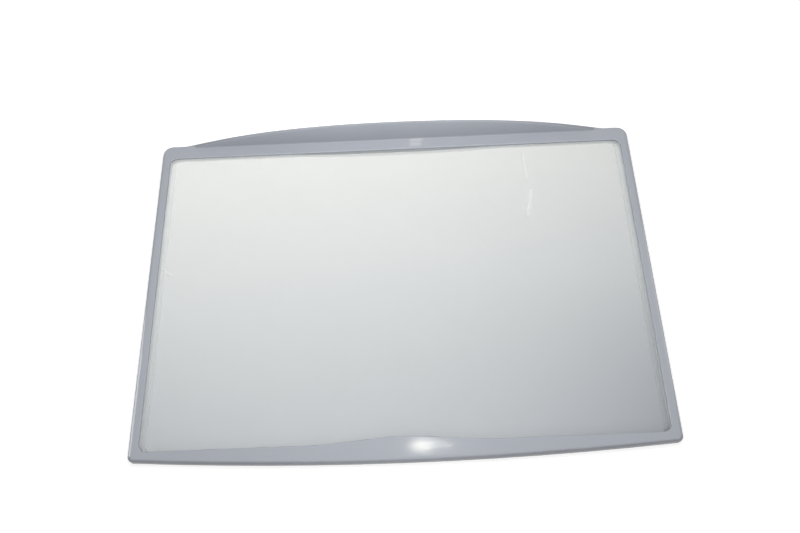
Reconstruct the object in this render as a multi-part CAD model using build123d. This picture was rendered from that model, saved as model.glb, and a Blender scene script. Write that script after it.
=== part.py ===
from build123d import *
from math import ceil, cos, radians, sin, sqrt
import os

os.makedirs("parts", exist_ok=True)

# Fridge shelf: a glass pane held in a plastic frame that is moulded round it in one piece.
# Millimetres, X across the fridge, +Y to its back wall, +Z up, origin under the middle of the shelf.

# Overall size
overall_width = 475.0
overall_depth = 333.0
overall_height = 33.0

# Heights of the layers, from the face that lies on the cabinet's ledges upwards
flange_thickness = 3.0
glass_thickness = 4.0
lip_thickness = 1.6

# Plastic outside the edge of the pane
side_wall = 3.0
rear_wall = 4.5
front_wall = 3.0

# Width of the lip that covers the pane, from the outside inwards
side_lip = 9.2
rear_lip = 16.3
front_lip = 8.0

# Width of the flange under the pane, from the outside inwards
side_flange = 13.7
rear_flange = 15.0
front_flange = 6.5

# Bow of the front, and the place at its middle where the lip reaches further over the glass
front_bow = 8.6
swell_length = 172.0
swell_reach = 5.2

# Arched back stop: wall at its foot, lean of its front at the crest, and a cove that starts a little
# under the lip's face; the fullness of the arch's middle and its tails are shares of the half span
stop_thickness = 4.0
stop_lean = 8.0
stop_cove = 0.9
cove_sink = 0.04
stop_edge_radius = 0.7
stop_fullness = 0.71
stop_tail = 0.12

# Corners and rounded edges
rear_corner_radius = 10.0
front_corner_radius = 5.0
shoulder_radius = 4.0
base_edge_radius = 1.2
opening_corner_radius = 7.0
flange_corner_radius = 9.0
lip_edge_radius = 1.2
glass_corner_radius = 6.0
glass_arris = 0.5

# Largest share of a wall that a rounded edge may take
round_share = 0.9

# Hollows under the front bar, with ribs between them
front_skin = 2.8
core_roof = 3.2
core_wall = 2.2
core_least_width = 2.5
rib_pitch = 27.0
rib_thickness = 1.6

# Places worked out from the sizes above
half_width = overall_width / 2
rear_face = overall_depth / 2
nose = -overall_depth / 2
front_end = nose + front_bow
bow_radius = (half_width**2 + front_bow**2) / (2 * front_bow)

glass_bottom = flange_thickness
glass_top = glass_bottom + glass_thickness
lip_top = glass_top + lip_thickness
shoulder_foot = lip_top - shoulder_radius

glass_rear = rear_face - rear_wall
glass_front = front_end + front_wall
opening_half = half_width - side_lip
opening_rear = rear_face - rear_lip
opening_front = front_end + front_lip


def plan_outline():
    """The frame seen from above, with round corners and a bowed front."""
    front = ThreePointArc((-half_width, front_end), (0, nose), (half_width, front_end))
    sides = Polyline(
        (half_width, front_end),
        (half_width, rear_face),
        (-half_width, rear_face),
        (-half_width, front_end),
    )
    outline = make_face([front, sides])
    outline = fillet(outline.vertices().group_by(Axis.Y)[-1], rear_corner_radius)
    return fillet(outline.vertices().group_by(Axis.Y)[0], front_corner_radius)


def rounded_slab():
    """The frame before anything is cut out of it, with its shoulder and base edge rounded."""
    slab = extrude(plan_outline(), lip_top)
    slab = fillet(slab.faces().sort_by(Axis.Z)[-1].edges(), shoulder_radius)
    return fillet(slab.faces().sort_by(Axis.Z)[0].edges(), base_edge_radius)


def back_stop():
    """The upright between the rear corners: an arched wall with a cove along its foot."""
    half_length = half_width - rear_corner_radius
    left_half = Bezier(
        (-half_length, shoulder_foot),
        (-half_length * (1 - stop_tail), shoulder_foot),
        (-half_length * stop_fullness, overall_height),
        (0, overall_height),
    )
    right_half = mirror(left_half, Plane.YZ)
    base = Polyline(
        (half_length, shoulder_foot),
        (half_length, glass_bottom),
        (-half_length, glass_bottom),
        (-half_length, shoulder_foot),
    )
    arch = extrude(Plane.XZ * make_face([left_half, right_half, base]), overall_depth, both=True)

    foot = rear_face - stop_thickness
    front_radius = (overall_height - glass_bottom) / sin(radians(stop_lean))
    crown = foot + front_radius * (1 - cos(radians(stop_lean)))
    front = TangentArc((foot, glass_bottom), (crown, overall_height), tangent=(0, 1))
    section = Polyline(
        (crown, overall_height),
        (rear_face, overall_height),
        (rear_face, glass_bottom),
        (foot, glass_bottom),
    )
    wall = arch & extrude(Plane.YZ * make_face([front, section]), half_width, both=True)
    crest = wall.faces().sort_by(Axis.Z)[-2:].edges().filter_by(Axis.Y, reverse=True)
    wall = fillet(crest, min(stop_edge_radius, round_share * (rear_face - crown) / 2))

    cove_foot = lip_top - cove_sink
    cove_head = cove_foot + stop_cove
    start = (foot - stop_cove, cove_foot)
    finish = (foot + front_radius - sqrt(front_radius**2 - (cove_head - glass_bottom) ** 2), cove_head)
    core = rear_face - stop_thickness / 2
    rest = Polyline(finish, (core, cove_head), (core, glass_bottom), (start[0], glass_bottom), start)
    cove = extrude(Plane.YZ * make_face([TangentArc(start, finish, tangent=(1, 0)), rest]), half_width, both=True)
    return wall + (cove & Pos(0, 0, -stop_cove) * arch)


def opening_outline():
    """The edge of the lip round the visible glass, with the swelling at the front."""
    swell_half = swell_length / 2
    swell = Spline(
        (-swell_half, opening_front),
        (0, opening_front + swell_reach),
        (swell_half, opening_front),
        tangents=[(1, 0), (1, 0)],
    )
    edges = Polyline(
        (swell_half, opening_front),
        (opening_half, opening_front),
        (opening_half, opening_rear),
        (-opening_half, opening_rear),
        (-opening_half, opening_front),
        (-swell_half, opening_front),
    )
    outline = make_face([swell, edges])
    corners = outline.vertices().group_by(Axis.X)
    return fillet(corners[0] + corners[-1], opening_corner_radius)


def flange_outline():
    """The open middle of the flange that the pane lies on."""
    rear = rear_face - rear_flange
    front = front_end + front_flange
    outline = RectangleRounded(overall_width - 2 * side_flange, rear - front, flange_corner_radius)
    return Pos(0, (rear + front) / 2) * outline


def front_hollows():
    """Hollows that keep the wall of the front bar even, under its widest stretch, between ribs."""
    inner_radius = bow_radius - front_skin
    bow_centre = nose + bow_radius
    back = glass_front - core_wall
    end = sqrt(inner_radius**2 - (bow_centre - back + core_least_width) ** 2)
    disc = Pos(0, bow_centre) * Circle(inner_radius)
    strip = Pos(0, back) * Rectangle(2 * end, overall_depth / 2, align=(Align.CENTER, Align.MAX))
    cells = ceil(2 * end / rib_pitch)
    ribs = GridLocations(2 * end / cells, 0, cells - 1, 1) * Rectangle(rib_thickness, overall_depth)
    return extrude((disc & strip) - ribs, lip_top - core_roof)


def glass_panel():
    """The pane, with its corners rounded and its edges ground."""
    outline = RectangleRounded(overall_width - 2 * side_wall, glass_rear - glass_front, glass_corner_radius)
    pane = extrude(Pos(0, (glass_rear + glass_front) / 2, glass_bottom) * outline, glass_thickness)
    return chamfer(pane.edges().filter_by(Plane.XY), glass_arris)


def moulded_frame(pane):
    """The whole moulding, with the pane's own shape left in it as the channel."""
    frame = rounded_slab() + back_stop()
    frame -= extrude(Pos(0, 0, glass_top) * opening_outline(), overall_height)
    lip_face = frame.faces().filter_by(Axis.Z).sort_by(Axis.Z)[-1]
    lip_edge = lip_face.inner_wires()[0].edges()
    frame = fillet(lip_edge, min(lip_edge_radius, round_share * lip_thickness))
    frame -= extrude(flange_outline(), glass_bottom)
    frame -= pane
    return frame - front_hollows()


shelf_pane = glass_panel()
export_step(shelf_pane, "parts/glass_panel.step")
export_step(moulded_frame(shelf_pane), "parts/moulded_frame.step")
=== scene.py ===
import math
import bmesh
import bpy
from mathutils import Euler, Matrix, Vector


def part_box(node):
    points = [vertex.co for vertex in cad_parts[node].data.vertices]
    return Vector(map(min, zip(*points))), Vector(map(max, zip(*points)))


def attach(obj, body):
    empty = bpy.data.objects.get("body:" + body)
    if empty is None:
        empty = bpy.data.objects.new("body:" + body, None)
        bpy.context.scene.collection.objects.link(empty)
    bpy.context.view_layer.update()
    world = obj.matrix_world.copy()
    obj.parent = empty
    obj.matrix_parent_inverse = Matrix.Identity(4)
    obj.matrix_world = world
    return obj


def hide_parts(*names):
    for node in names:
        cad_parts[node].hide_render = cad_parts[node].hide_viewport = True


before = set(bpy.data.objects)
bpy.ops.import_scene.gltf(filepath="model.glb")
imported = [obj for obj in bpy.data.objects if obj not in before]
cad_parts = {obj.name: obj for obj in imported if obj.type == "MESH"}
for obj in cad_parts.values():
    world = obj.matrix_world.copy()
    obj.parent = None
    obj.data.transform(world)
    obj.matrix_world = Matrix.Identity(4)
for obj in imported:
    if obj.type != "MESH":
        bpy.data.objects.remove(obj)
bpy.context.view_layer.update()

print("shelf: solids loaded,", ", ".join(sorted(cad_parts)))

# Small helpers for meshes and node trees


def feed(tree, socket, value):  # another socket is linked, a constant is set
    if isinstance(value, bpy.types.NodeSocket):
        tree.links.new(value, socket)
    else:
        socket.default_value = value


def addNode(tree, kind, settings=None, values=None):
    node = tree.nodes.new(kind)
    for name, value in (settings or {}).items():
        setattr(node, name, value)
    for name, value in (values or {}).items():
        feed(tree, node.inputs[name], value)
    return node


def emptyTree(owner):
    owner.use_nodes = True
    owner.node_tree.nodes.clear()
    return owner.node_tree


def startMaterial(name):
    material = bpy.data.materials.new(name)
    return material, emptyTree(material)


def endMaterial(tree, shader):
    addNode(tree, "ShaderNodeOutputMaterial", values={"Surface": shader.outputs[0]})


def mathOf(tree, operation, *parts):
    node = addNode(tree, "ShaderNodeMath", {"operation": operation})
    for socket, value in zip(node.inputs, parts):
        feed(tree, socket, value)
    return node.outputs[0]


def isOver(tree, source, edge):
    return mathOf(tree, "GREATER_THAN", source, edge)


def isUnder(tree, source, edge):
    return mathOf(tree, "LESS_THAN", source, edge)


def allOf(tree, mask, *others):
    for other in others:
        mask = mathOf(tree, "MULTIPLY", mask, other)
    return mask


def anyOf(tree, mask, *others):
    for other in others:
        mask = mathOf(tree, "MAXIMUM", mask, other)
    return mask


def spread(tree, source, low, high, fromLow=0.0, fromHigh=1.0, kind="LINEAR"):
    values = {"Value": source, "From Min": fromLow, "From Max": fromHigh, "To Min": low, "To Max": high}
    return addNode(tree, "ShaderNodeMapRange", {"interpolation_type": kind}, values).outputs["Result"]


def noiseAt(tree, place, scale, detail=2.0, roughness=0.5):
    values = {"Vector": place, "Scale": scale, "Detail": detail, "Roughness": roughness}
    return addNode(tree, "ShaderNodeTexNoise", values=values).outputs["Fac"]


def objectPlace(tree):
    return addNode(tree, "ShaderNodeTexCoord").outputs["Object"]


def axesOf(tree, source):
    return tuple(addNode(tree, "ShaderNodeSeparateXYZ", values={"Vector": source}).outputs)


def vectorOf(tree, operation, first, second, out="Vector"):
    node = addNode(tree, "ShaderNodeVectorMath", {"operation": operation})
    feed(tree, node.inputs[0], first)
    feed(tree, node.inputs[1], second)
    return node.outputs[out]


def scaledBy(tree, source, factor):
    node = addNode(tree, "ShaderNodeVectorMath", {"operation": "SCALE"}, {"Scale": factor})
    feed(tree, node.inputs[0], source)
    return node.outputs["Vector"]


def inPlan(tree, place):  # drops the height
    return vectorOf(tree, "MULTIPLY", place, (1.0, 1.0, 0.0))


def strokeMask(tree, plan, start, end, halfWidth):  # soft stroke between two places in plan
    start = Vector((*start, 0))
    run = Vector((*end, 0)) - start
    offset = vectorOf(tree, "SUBTRACT", plan, start)
    share = vectorOf(tree, "DOT_PRODUCT", offset, run / run.length_squared, "Value")
    nearest = scaledBy(tree, run, spread(tree, share, 0.0, 1.0))
    gap = vectorOf(tree, "DISTANCE", offset, nearest, "Value")
    return spread(tree, gap, 1.0, 0.0, 0.0, halfWidth, "SMOOTHSTEP")


def blendTones(tree, factor, first, second):
    tones = addNode(tree, "ShaderNodeMix", {"data_type": "RGBA"}, {"Factor": factor})
    for side, tone in (("A", first), ("B", second)):
        feed(tree, tones.inputs[side], (*tone, 1) if isinstance(tone, tuple) else tone)
    return tones.outputs["Result"]


def mixShaders(tree, factor, first, second):
    mix = addNode(tree, "ShaderNodeMixShader")
    for socket, source in zip(mix.inputs, (factor, first.outputs[0], second.outputs[0])):
        feed(tree, socket, source)
    return mix


def seenRay(tree):  # what the camera meets, directly or by way of gloss and glass
    path = addNode(tree, "ShaderNodeLightPath").outputs
    return anyOf(tree, path["Is Camera Ray"], path["Is Glossy Ray"], path["Is Transmission Ray"])


def addPiece(name, mesh, material):
    data = bpy.data.meshes.new(name)
    mesh.to_mesh(data)
    mesh.free()
    data.materials.append(material)
    piece = bpy.data.objects.new(name, data)
    bpy.context.scene.collection.objects.link(piece)
    return piece


# The moulded frame keeps its solid and gets a satin plastic; facings are the upward share of the
# normal. Its tones also carry painted shade, a painted sheen and painted highlights

framePlastic = {
    "tone": (0.386, 0.41, 0.458),
    "paleTone": (0.404, 0.428, 0.478),
    "patchScale": 9.0,  # slow drift of the tone, per metre
    "patchEdge": (0.3, 0.7),
    "grainScale": 2200.0,  # fine moulded grain, per metre
    "grainEdge": (0.3, 0.7),
    "grainHeight": 0.000004,
    "grainStrength": 0.5,
    "roughness": (0.06, 0.1),
    "gloss": 0.3,
    "ior": 1.5,
    "wornTone": (0.455, 0.476, 0.52),  # rounded edges, rubbed paler in places
    "wornScale": 55.0,
    "wornEdge": (0.48, 0.68),
    "wornMost": 0.8,
    "wornFacing": 0.62,
    "wornReach": (0.12, 0.34),  # how far from that facing the wear fades
    "lowEdgeShade": (0.25, 0.264, 0.293),  # painted shade: outer walls darker towards their low edge
    "lowEdgeShadeTop": 0.0058,
    "greyedOutside": (0.232, 0.1535),  # in plan
    "noseShade": (0.16, 0.17, 0.188),  # painted shade on the front, darker and from higher up
    "noseTop": 0.0083,
    "noseShoulder": 0.5,  # share of that painted shade on the rounded shoulder
    "shoulderFacing": (0.78, 0.998),
    "noseMiddle": (0.6, 1.0),  # fainter at the middle of the front
    "noseReach": (0.03, 0.14),
    "frontSheen": (1.07, 1.0),  # painted sheen: the middle of the front bar is a little paler
    "frontEdge": -0.14,
    "glintDashes": (  # painted highlight: paler dashes on the rear bar, in plan
        ((0.0185, 0.1607), (0.027, 0.1607)),
        ((0.018, 0.1552), (0.0255, 0.1552)),
    ),
    "glintWidth": 0.0044,  # half
    "glintTone": (0.52, 0.54, 0.56),
    "glintFacing": 0.9,
    "stopPlace": (0.1612, 0.0087),  # the back stop lies behind and above these
    "stopPaintedShade": (0.94, 1.17),  # painted shade on the back stop: its tone at the foot and at the crest
    "stopReach": (0.009, 0.031),
    "crestPaintedShade": 0.24,  # painted shade: how much darker its rounded top edge is
    "crestFacing": (0.25, 0.75),
    "scratchStretch": (30.0, 900.0, 900.0),  # fine scratches, mostly sideways
    "scratchEdge": (0.6, 0.7),
    "scratchRoughness": 0.09,
    "seatFront": (0.34, 0.362, 0.407),  # unpolished, where the pane lies; graded darker to the front as painted shade
    "seatRear": (0.46, 0.475, 0.505),
    "seatReach": (-0.14, 0.14),
    "seatTop": 0.005,  # level surfaces lower than this are the seat
    "seatFacing": 0.5,
    "seatRoughness": 0.6,
    "flangeShadeLift": (0.6, 0.618, 0.65),  # painted light lifting the shade on the flange's cut edge and on what the lip hides of the seat
    "flangeInside": (0.2275, 0.1525),  # in plan
    "sharpAngle": 34.0,  # edges sharper than this stay crisp
    "weldGap": 0.000005,
    "flatWeight": 100,  # of the large faces, so that they shade flat
}


def readSpot(tree):  # what the finish is steered by
    place = objectPlace(tree)
    x, y, z = axesOf(tree, place)
    normal = addNode(tree, "ShaderNodeNewGeometry").outputs["Normal"]
    return {
        "place": place,
        "acrossX": mathOf(tree, "ABSOLUTE", x),
        "acrossY": mathOf(tree, "ABSOLUTE", y),
        "y": y,
        "z": z,
        "up": axesOf(tree, normal)[2],
    }


def seatMask(tree, spot, look):
    low = isUnder(tree, spot["z"], look["seatTop"])
    return allOf(tree, low, isOver(tree, spot["up"], look["seatFacing"]))


def stopMask(tree, spot, look):
    rearOf, higherThan = look["stopPlace"]
    return allOf(tree, isOver(tree, spot["y"], rearOf), isOver(tree, spot["z"], higherThan))


def mouldedTone(tree, spot, look):
    patches = noiseAt(tree, spot["place"], look["patchScale"], detail=4.0)
    drift = spread(tree, patches, 0.0, 1.0, *look["patchEdge"])
    return blendTones(tree, drift, look["tone"], look["paleTone"])


def wornAndGlintTone(tree, spot, look, tone, stop):
    tilt = mathOf(tree, "ABSOLUTE", mathOf(tree, "SUBTRACT", spot["up"], look["wornFacing"]))
    edges = spread(tree, tilt, 1.0, 0.0, *look["wornReach"], "SMOOTHSTEP")
    patches = noiseAt(tree, spot["place"], look["wornScale"], detail=4.0, roughness=0.6)
    worn = spread(tree, patches, 0.0, look["wornMost"], *look["wornEdge"])
    offStop = mathOf(tree, "SUBTRACT", 1.0, stop)
    tone = blendTones(tree, allOf(tree, edges, offStop, worn), tone, look["wornTone"])
    # Painted highlight: paler dashes on the level top of the rear bar
    plan = inPlan(tree, spot["place"])
    level = isOver(tree, spot["up"], look["glintFacing"])
    for begin, end in look["glintDashes"]:
        glint = allOf(tree, level, strokeMask(tree, plan, begin, end, look["glintWidth"]))
        tone = blendTones(tree, glint, tone, look["glintTone"])
    return tone


def paintedShadeAndSheen(tree, spot, look, tone, stop):
    # Painted shade on the back stop: darker at the foot, paler up its face, its crest darkened
    rise = spread(tree, spot["z"], *look["stopPaintedShade"], *look["stopReach"])
    crest = spread(tree, spot["up"], 0.0, look["crestPaintedShade"], *look["crestFacing"])
    rise = mathOf(tree, "SUBTRACT", rise, crest)
    shade = mathOf(tree, "MULTIPLY_ADD", stop, mathOf(tree, "SUBTRACT", rise, 1.0), 1.0)
    # Painted sheen: the middle of the front bar made a little paler
    front = isUnder(tree, spot["y"], look["frontEdge"])
    lift = spread(tree, spot["acrossX"], *look["frontSheen"], *look["noseReach"])
    shade = mathOf(tree, "MULTIPLY_ADD", front, mathOf(tree, "SUBTRACT", lift, 1.0), shade)
    return scaledBy(tree, tone, shade)


# Painted shade: outer walls darker towards their low edge
def lowEdgeShade(tree, spot, look, tone):
    outX, outY = look["greyedOutside"]
    low = spread(tree, spot["z"], 1.0, 0.0, 0.0, look["lowEdgeShadeTop"], "SMOOTHSTEP")
    outer = anyOf(tree, isOver(tree, spot["acrossX"], outX), isOver(tree, spot["acrossY"], outY))
    return blendTones(tree, allOf(tree, low, outer), tone, look["lowEdgeShade"])


# Painted shade on the front: the nose darker towards the bottom and over its rounded shoulder
def noseShade(tree, spot, look, tone):
    low = spread(tree, spot["z"], 1.0, 0.0, 0.0, look["noseTop"], "SMOOTHSTEP")
    shoulder = spread(tree, spot["up"], look["noseShoulder"], 0.0, *look["shoulderFacing"])
    middle = spread(tree, spot["acrossX"], *look["noseMiddle"], *look["noseReach"])
    front = isUnder(tree, spot["y"], -look["greyedOutside"][1])
    nose = allOf(tree, anyOf(tree, low, shoulder), middle, front)
    return blendTones(tree, nose, tone, look["noseShade"])


# Painted shade grades the seat darker to the front; painted light pales its cut edge and the part under
# the lip
def seatTone(tree, spot, look, tone, seat):
    back = spread(tree, spot["y"], 0.0, 1.0, *look["seatReach"])
    tone = blendTones(tree, seat, tone, blendTones(tree, back, look["seatFront"], look["seatRear"]))
    inX, inY = look["flangeInside"]
    hidden = allOf(tree, seat, isOver(tree, spot["acrossX"], inX))
    cutEdge = allOf(
        tree,
        isUnder(tree, mathOf(tree, "ABSOLUTE", spot["up"]), look["seatFacing"]),
        isUnder(tree, spot["acrossX"], inX),
        isUnder(tree, spot["acrossY"], inY),
        isUnder(tree, spot["z"], look["seatTop"]),
    )
    return blendTones(tree, anyOf(tree, hidden, cutEdge), tone, look["flangeShadeLift"])


def plasticRoughness(tree, spot, look, grain, seat):
    polish = spread(tree, grain, *look["roughness"], *look["grainEdge"])
    along = vectorOf(tree, "MULTIPLY", spot["place"], look["scratchStretch"])
    lines = noiseAt(tree, along, 1.0)
    scratches = spread(tree, lines, 0.0, look["scratchRoughness"], *look["scratchEdge"])
    polish = mathOf(tree, "ADD", polish, scratches)
    return anyOf(tree, polish, allOf(tree, seat, look["seatRoughness"]))


def satinPlastic(look):
    material, tree = startMaterial("lavenderGreySatin")
    spot = readSpot(tree)
    seat = seatMask(tree, spot, look)
    stop = stopMask(tree, spot, look)
    tone = mouldedTone(tree, spot, look)
    tone = wornAndGlintTone(tree, spot, look, tone, stop)
    tone = paintedShadeAndSheen(tree, spot, look, tone, stop)
    tone = lowEdgeShade(tree, spot, look, tone)
    tone = noseShade(tree, spot, look, tone)
    tone = seatTone(tree, spot, look, tone, seat)
    grain = noiseAt(tree, spot["place"], look["grainScale"], detail=3.0, roughness=0.6)
    relief = {"Height": grain, "Strength": look["grainStrength"], "Distance": look["grainHeight"]}
    values = {
        "Base Color": tone,
        "Roughness": plasticRoughness(tree, spot, look, grain, seat),
        "IOR": look["ior"],
        "Specular IOR Level": look["gloss"],
        "Normal": addNode(tree, "ShaderNodeBump", values=relief).outputs["Normal"],
    }
    endMaterial(tree, addNode(tree, "ShaderNodeBsdfPrincipled", values=values))
    return material


def smoothRounds(piece, look):
    group = bpy.data.node_groups.new("roundsShadedSmooth", "GeometryNodeTree")
    for way in ("INPUT", "OUTPUT"):
        group.interface.new_socket("Geometry", in_out=way, socket_type="NodeSocketGeometry")
    start = addNode(group, "NodeGroupInput")
    values = {"Geometry": start.outputs[0], "Distance": look["weldGap"]}
    weld = addNode(group, "GeometryNodeMergeByDistance", values=values)
    values = {"Geometry": weld.outputs["Geometry"]}
    faces = addNode(group, "GeometryNodeSetShadeSmooth", {"domain": "FACE"}, values)
    angle = addNode(group, "GeometryNodeInputMeshEdgeAngle").outputs["Unsigned Angle"]
    sharp = addNode(group, "FunctionNodeCompare", {"data_type": "FLOAT", "operation": "GREATER_THAN"})
    feed(group, sharp.inputs[0], angle)
    feed(group, sharp.inputs[1], math.radians(look["sharpAngle"]))
    values = {
        "Geometry": faces.outputs["Geometry"],
        "Selection": sharp.outputs["Result"],
        "Shade Smooth": False,
    }
    edges = addNode(group, "GeometryNodeSetShadeSmooth", {"domain": "EDGE"}, values)
    finish = addNode(group, "NodeGroupOutput")
    feed(group, finish.inputs[0], edges.outputs["Geometry"])
    piece.modifiers.new("smoothRounds", "NODES").node_group = group
    flats = piece.modifiers.new("flatsStayFlat", "WEIGHTED_NORMAL")
    flats.weight = look["flatWeight"]
    flats.keep_sharp = True


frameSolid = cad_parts["moulded_frame"]
frameSolid.data.materials.clear()
frameSolid.data.materials.append(satinPlastic(framePlastic))
smoothRounds(frameSolid, framePlastic)
print("shelf: moulded frame dressed")

# The pane stands for the glass solid, a hair smaller so that no face lies in a face of the channel

shelfGlass = {
    "hairGap": 0.00005,
    "cornerRadius": 0.006,
    "arris": 0.0005,  # ground edge
    "cornerSteps": 12,
    "tint": (0.96, 0.975, 0.968),
    "lampTint": (0.94, 0.948, 0.944),  # one face, for light on its way to the floor
    "roughness": 0.0,
    "ior": 1.52,
    "wipes": (  # soft marks: places in plan, half width, how milky
        (((0.1298, 0.1392), (0.1303, 0.1258), (0.1316, 0.1103)), 0.003, 0.06),
        (((0.1340, 0.0961), (0.1315, 0.0825), (0.1280, 0.0691)), 0.003, 0.11),
        (((-0.2265, 0.0262), (-0.2148, 0.0192)), 0.0016, 0.13),
    ),
    "wipeScale": 90.0,  # their patchiness, per metre
    "wipeEdge": (0.3, 0.6),
    "wipeLeast": 0.55,
    "haze": 0.008,  # most that an old wipe leaves elsewhere
    "hazeStretch": (26.0, 7.0, 10.0),
    "hazeEdge": (0.45, 0.8),
    "speckScale": 330.0,
    "specks": 0.08,
    "speckSoft": 0.03,
    "speckFrom": (0.8, 0.7),  # noise level they start at, away from the back stop and beside it
    "speckEdge": (0.125, 0.148),  # between these places in depth
}


def roundedOutline(halfX, halfY, radius, steps):
    points = []
    for quarter, (sx, sy) in enumerate(((1, 1), (-1, 1), (-1, -1), (1, -1))):
        centre = Vector((sx * (halfX - radius), sy * (halfY - radius)))
        for step in range(steps + 1):
            turn = math.radians(90 * (quarter + step / steps))
            points.append(centre + radius * Vector((math.cos(turn), math.sin(turn))))
    return points


def paneMesh(look):
    low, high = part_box("glass_panel")
    gap = Vector((1, 1, 1)) * look["hairGap"]
    low, high = low + gap, high - gap
    middle, half = (low + high) / 2, (high - low) / 2
    arris = look["arris"]
    rings = ((low.z, arris), (low.z + arris, 0), (high.z - arris, 0), (high.z, arris))
    mesh = bmesh.new()
    loops = []
    for z, inset in rings:
        radius = look["cornerRadius"] - inset
        outline = roundedOutline(half.x - inset, half.y - inset, radius, look["cornerSteps"])
        loops.append([mesh.verts.new((middle.x + p.x, middle.y + p.y, z)) for p in outline])
    count = len(loops[0])
    for lower, upper in zip(loops, loops[1:]):
        for i in range(count):
            j = (i + 1) % count
            mesh.faces.new((lower[i], lower[j], upper[j], upper[i]))
    mesh.faces.new(loops[-1])
    mesh.faces.new(list(reversed(loops[0])))
    return mesh


def paneMarks(tree, look):
    place = objectPlace(tree)
    plan = inPlan(tree, place)
    streaks = noiseAt(tree, vectorOf(tree, "MULTIPLY", place, look["hazeStretch"]), 1.0, detail=4.0)
    marks = spread(tree, streaks, 0.0, look["haze"], *look["hazeEdge"])
    patches = noiseAt(tree, place, look["wipeScale"], detail=3.0)
    patchy = spread(tree, patches, look["wipeLeast"], 1.0, *look["wipeEdge"])
    for points, halfWidth, milky in look["wipes"]:
        for start, end in zip(points, points[1:]):
            stroke = strokeMask(tree, plan, start, end, halfWidth)
            marks = anyOf(tree, marks, allOf(tree, stroke, milky, patchy))
    least = spread(tree, axesOf(tree, place)[1], *look["speckFrom"], *look["speckEdge"])
    speck = mathOf(tree, "SUBTRACT", noiseAt(tree, plan, look["speckScale"], detail=1.0), least)
    return anyOf(tree, marks, spread(tree, speck, 0.0, look["specks"], 0.0, look["speckSoft"]))


def clearGlass(look):
    material, tree = startMaterial("clearShelfGlass")
    values = {
        "Base Color": (*look["tint"], 1),
        "Roughness": look["roughness"],
        "IOR": look["ior"],
        "Transmission Weight": 1.0,
    }
    glass = addNode(tree, "ShaderNodeBsdfPrincipled", values=values)
    film = addNode(tree, "ShaderNodeBsdfDiffuse", values={"Color": (*look["tint"], 1)})
    marked = mixShaders(tree, paneMarks(tree, look), glass, film)
    passing = addNode(tree, "ShaderNodeBsdfTransparent", values={"Color": (*look["lampTint"], 1)})
    path = addNode(tree, "ShaderNodeLightPath").outputs
    lampRay = anyOf(tree, path["Is Shadow Ray"], path["Is Diffuse Ray"])
    endMaterial(tree, mixShaders(tree, lampRay, marked, passing))
    return material


pane = addPiece("shelf_pane", paneMesh(shelfGlass), clearGlass(shelfGlass))
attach(pane, "root")
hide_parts("glass_panel")
print("shelf: glass pane made")

# White floor, and a grey card that the pane is seen against, painted with shade that grades it darker
# to the front

whiteFloor = {
    "half": (7.0, 7.0),
    "below": 0.0002,  # just under the runners
    "colour": (0.95, 0.95, 0.95),
    "thrown": (0.2, 0.2, 0.2),  # what it throws back on the shelf
    "glow": (0.4, 1.0),  # keeps the floor white where the lamps fall off
    "glowReach": (0.6, 2.6),  # distances between which it rises
}
gradedCard = {
    "half": (0.23, 0.158),  # ends under the flange
    "below": 0.0001,
    "glow": 0.45,  # share of its look that glows, though it is no lamp, so that the front bar can't shade it
    "level": 0.95,  # of that share
    # painted shade: darker at the front than at the back
    "frontTone": (0.348, 0.367, 0.412),
    "rearTone": (0.504, 0.508, 0.518),
}


def cardPaper(look):
    material, tree = startMaterial("gradedCard")
    halfY = look["half"][1]
    back = spread(tree, axesOf(tree, objectPlace(tree))[1], 0.0, 1.0, -halfY, halfY)
    tone = blendTones(tree, back, look["frontTone"], look["rearTone"])
    matte = addNode(tree, "ShaderNodeBsdfDiffuse", values={"Color": tone})
    glow = addNode(tree, "ShaderNodeEmission", values={"Color": tone, "Strength": look["level"]})
    endMaterial(tree, mixShaders(tree, allOf(tree, seenRay(tree), look["glow"]), matte, glow))
    return material


def floorPaper(look):
    material, tree = startMaterial("matteWhite")
    seen = seenRay(tree)
    tone = blendTones(tree, seen, look["thrown"], look["colour"])
    matte = addNode(tree, "ShaderNodeBsdfDiffuse", values={"Color": tone})
    far = vectorOf(tree, "DISTANCE", objectPlace(tree), (0.0, 0.0, 0.0), "Value")
    level = spread(tree, far, *look["glow"], *look["glowReach"], "SMOOTHSTEP")
    glow = addNode(tree, "ShaderNodeEmission", values={"Strength": allOf(tree, seen, level)})
    both = addNode(tree, "ShaderNodeAddShader")
    feed(tree, both.inputs[0], matte.outputs["BSDF"])
    feed(tree, both.inputs[1], glow.outputs["Emission"])
    endMaterial(tree, both)
    return material


def laySheet(name, look, material):
    halfX, halfY = look["half"]
    signs = ((-1, -1), (1, -1), (1, 1), (-1, 1))
    mesh = bmesh.new()
    mesh.faces.new([mesh.verts.new((x * halfX, y * halfY, -look["below"])) for x, y in signs])
    sheet = addPiece(name, mesh, material)


laySheet("white_floor", whiteFloor, floorPaper(whiteFloor))
laySheet("graded_card", gradedCard, cardPaper(gradedCard))
print("shelf: floor and card laid")

# Light: a pale surrounding, a glowing sheet for the pane, broad lamps round the shelf, small ones above

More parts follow.
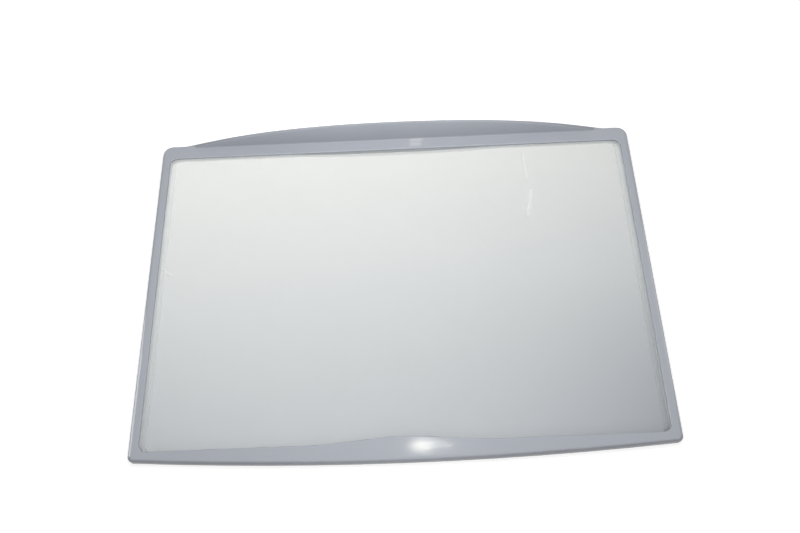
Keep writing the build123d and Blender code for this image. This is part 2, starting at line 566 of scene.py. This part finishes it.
surround = {
    "ambient": 0.33,  # what lights the shelf
    "seen": 1.02,  # what the camera, gloss and glass meet
    "colour": (0.98, 0.985, 1.0),
}
glowSheet = {  # only the pane mirrors it
    "place": (-0.02, 0.75, 1.6),
    "size": (1.9, 1.5),
    "power": 8.95,  # at which a level of 1 is white
    "colour": (0.99, 0.99, 0.925),
    "front": 1.8,  # level at the front edge
    "rise": 3.2,
    "bend": 0.2,
    "brightest": (0.466, 0.22),  # across the sheet from its left, at the front and further back
    "dimming": (11.9, 3.7),  # to the sides of that, at the same places
    "evenFrom": 0.5,  # share of the depth from which both stay even
    "softEdge": 0.1,
}
broadLamp = {
    "place": (0.1, -1.5, 1.9),
    "aim": (0.0, 0.1, 0.0),
    "size": (3.2, 2.4),
    "power": 30.0,
    "colour": (1.0, 0.99, 0.97),
    "sparesPane": True,
}
topLamp = {
    "place": (0.0, 0.05, 0.38),
    "size": (0.2, 0.12),
    "power": 0.8,
    "colour": (1.0, 0.99, 0.97),
    "mirrored": False,
}
rearLamp = {  # low behind, for the back of the stop
    "place": (0.0, 2.0, 0.4),
    "aim": (0.0, 0.17, 0.02),
    "size": (2.0, 0.6),
    "power": 8.0,
    "colour": (1.0, 1.0, 1.0),
    "mirrored": False,
}
leftLamp = {  # for the streak along the frame's left shoulder
    "place": (-1.1, 0.17, 0.45),
    "aim": (-0.23, -0.08, 0.0),
    "size": (0.36, 0.95),
    "power": 8.0,
    "colour": (1.0, 1.0, 1.0),
    "lightsMatte": False,
    "sparesPane": True,
}
rightLamp = {  # the same for the right shoulder, fainter
    "place": (1.1, 0.35, 0.45),
    "aim": (0.23, 0.1, 0.0),
    "size": (0.36, 0.95),
    "power": 2.6,
    "colour": (1.0, 1.0, 1.0),
    "lightsMatte": False,
    "sparesPane": True,
}
smallLamp = {  # for the highlight at the front's middle
    "place": (0.018, 0.2215, 1.5),
    "size": (0.056, 0.04),
    "shape": "ELLIPSE",
    "power": 0.23,
    "colour": (1.0, 0.975, 0.84),
}
tailLamp = {  # draws the highlight out to the right
    "place": (0.066, 0.2275, 1.5),
    "size": (0.08, 0.026),
    "shape": "ELLIPSE",
    "power": 0.1,
    "colour": (1.0, 0.98, 0.86),
}


def lightSurround(look):
    world = bpy.data.worlds.new("paleSurround")
    bpy.context.scene.world = world
    tree = emptyTree(world)
    strength = spread(tree, seenRay(tree), look["ambient"], look["seen"])
    values = {"Color": (*look["colour"], 1), "Strength": strength}
    background = addNode(tree, "ShaderNodeBackground", values=values)
    addNode(tree, "ShaderNodeOutputWorld", values={"Surface": background.outputs["Background"]})


def hangLamp(name, look):
    data = bpy.data.lights.new(name, "AREA")
    data.energy = look["power"]
    data.color = look["colour"]
    data.shape = look.get("shape", "RECTANGLE")
    data.size, data.size_y = look["size"]
    lamp = bpy.data.objects.new(name, data)
    bpy.context.scene.collection.objects.link(lamp)
    lamp.location = look["place"]
    if "aim" in look:  # otherwise it faces straight down
        toAim = Vector(look["aim"]) - Vector(look["place"])
        lamp.rotation_euler = toAim.to_track_quat("-Z", "Y").to_euler()
    lamp.visible_camera = False
    lamp.visible_glossy = lamp.visible_transmission = look.get("mirrored", True)
    lamp.visible_diffuse = look.get("lightsMatte", True)
    return lamp


def linkLamp(lamp, piece, state):  # INCLUDE lights the piece alone, EXCLUDE all but the piece
    linked = bpy.data.collections.new(lamp.name + "Linked")
    linked.objects.link(piece)
    linked.collection_objects[0].light_linking.link_state = state
    lamp.light_linking.receiver_collection = linked


def fadeSheet(lamp, look):
    tree = emptyTree(lamp.data)
    across, back = axesOf(tree, addNode(tree, "ShaderNodeNewGeometry").outputs["Parametric"])[:2]
    slope = mathOf(tree, "SUBTRACT", look["rise"], mathOf(tree, "MULTIPLY", back, look["bend"]))
    level = mathOf(tree, "MULTIPLY_ADD", back, slope, look["front"])
    evenFrom = look["evenFrom"]
    off = mathOf(tree, "SUBTRACT", across, spread(tree, back, *look["brightest"], 0.0, evenFrom))
    dimming = allOf(tree, off, off, spread(tree, back, *look["dimming"], 0.0, evenFrom))
    level = mathOf(tree, "MAXIMUM", mathOf(tree, "SUBTRACT", level, dimming), 0.0)
    soft = look["softEdge"]
    for share in (across, back):
        for edge, inner in ((0.0, soft), (1.0, 1.0 - soft)):
            level = allOf(tree, level, spread(tree, share, 0.0, 1.0, edge, inner, "SMOOTHSTEP"))
    glow = addNode(tree, "ShaderNodeEmission", values={"Strength": level})
    addNode(tree, "ShaderNodeOutputLight", values={"Surface": glow.outputs["Emission"]})


lightSurround(surround)
glowLamp = hangLamp("glowSheet", glowSheet)
fadeSheet(glowLamp, glowSheet)
linkLamp(glowLamp, pane, "INCLUDE")
lampLooks = {
    "broadLamp": broadLamp,
    "topLamp": topLamp,
    "rearLamp": rearLamp,
    "leftLamp": leftLamp,
    "rightLamp": rightLamp,
    "smallLamp": smallLamp,
    "tailLamp": tailLamp,
}
for name, look in lampLooks.items():
    lamp = hangLamp(name, look)
    if look.get("sparesPane"):
        linkLamp(lamp, pane, "EXCLUDE")
print("shelf: lamps hung")

# Camera where the photographer stood

camera = {
    "place": (0.01417, -0.32454, 0.69524),
    "turn": (26.379, 1.884, -1.745),  # degrees
    "lens": 36.583,  # millimetres, like the sensor
    "sensor": 36.0,
    "clip": (0.01, 60.0),
}
cameraData = bpy.data.cameras.new("camera")
cameraData.lens = camera["lens"]
cameraData.sensor_width = camera["sensor"]
cameraData.clip_start, cameraData.clip_end = camera["clip"]
cameraObject = bpy.data.objects.new("camera", cameraData)
bpy.context.scene.collection.objects.link(cameraObject)
cameraObject.location = camera["place"]
cameraObject.rotation_euler = Euler([math.radians(angle) for angle in camera["turn"]])
bpy.context.scene.camera = cameraObject
bpy.context.scene.view_settings.view_transform = "Standard"
print("shelf: camera set")
